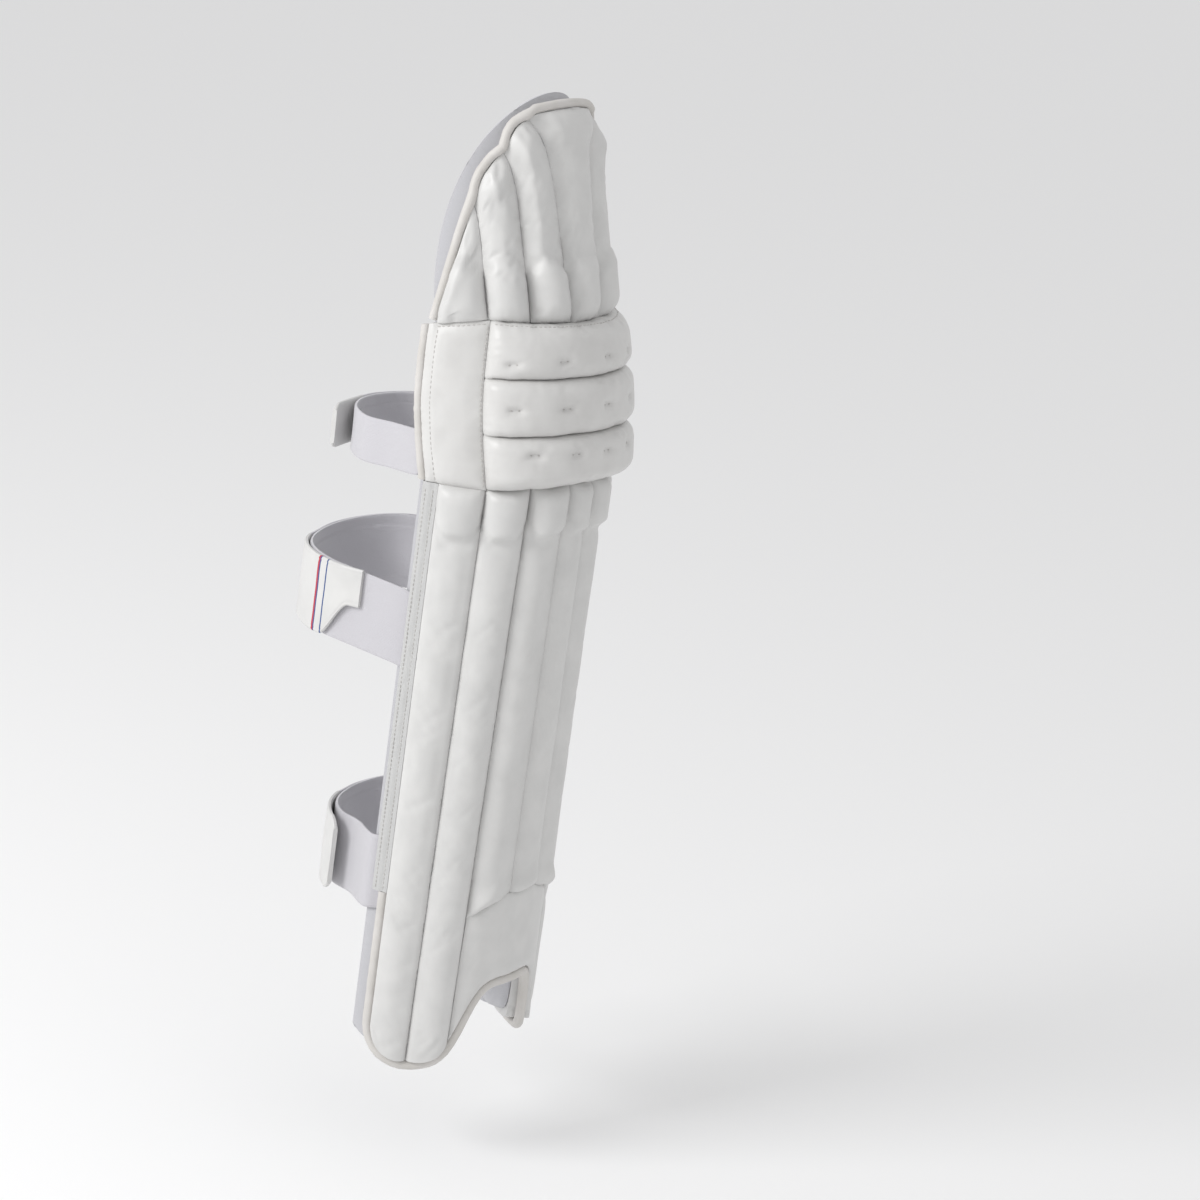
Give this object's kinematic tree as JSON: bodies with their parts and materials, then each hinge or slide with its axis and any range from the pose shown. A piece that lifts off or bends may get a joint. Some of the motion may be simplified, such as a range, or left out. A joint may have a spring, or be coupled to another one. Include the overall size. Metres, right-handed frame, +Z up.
{
  "type": "cricket batting pad",
  "caption": "Right-leg cricket batting pad with ribbed shin and top, padded knee rolls and wings, soft lining, bound edges and straps with rings and tabs, kept in its worn shape.",
  "frame": {"origin": "on the axis of the wearer's lower leg, level with the middle of the calf strap where it leaves the pad", "axes": "+Z up along the leg; -Y is the front of the shin; -X is the outer (lateral) side of the right leg"},
  "size_m": [0.1842, 0.242, 0.7356],
  "materials": {
    "leather": "white coated leather, softly glossy",
    "knee_leather": "slightly warmer white coated leather",
    "piping": "cream rolled edge binding",
    "tape": "off-white woven tape",
    "lining": "pale cotton drill over soft padding",
    "webbing": "pale brushed loop webbing with woven margins",
    "elastic": "knitted elastic",
    "ring": "white moulded ring"
  },
  "bodies": {
    "root": {"ankle_ring": "ring", "ankle_strap": "webbing", "ankle_stub": "webbing", "ankle_tab": "leather", "calf_elastic_lower": "elastic", "calf_elastic_upper": "elastic", "calf_ring": "ring", "calf_strap": "webbing", "calf_tab": "leather", "crown_binding": "piping", "crown_lining": "lining", "crown_rib_centre": "leather", "crown_rib_inner_lateral": "leather", "crown_rib_inner_medial": "leather", "crown_rib_outer_lateral": "leather", "crown_rib_outer_medial": "leather", "crown_rib_side_lateral": "leather", "crown_rib_side_medial": "leather", "hem_piping": "piping", "instep_panel": "leather", "knee_ring": "ring", "knee_roll_lower": "knee_leather", "knee_roll_middle": "knee_leather", "knee_roll_upper": "knee_leather", "knee_strap": "webbing", "knee_stub": "webbing", "knee_tab": "leather", "knee_wing_lateral": "knee_leather", "knee_wing_medial": "knee_leather", "knee_wing_piping_lateral": "piping", "knee_wing_piping_medial": "piping", "shin_lining": "lining", "shin_rib_centre": "leather", "shin_rib_inner_lateral": "leather", "shin_rib_inner_medial": "leather", "shin_rib_outer_lateral": "leather", "shin_rib_outer_medial": "leather", "shin_rib_side_lateral": "leather", "shin_rib_side_medial": "leather", "side_tape_lateral": "tape", "side_tape_medial": "tape"}
  },
  "joints": []
}
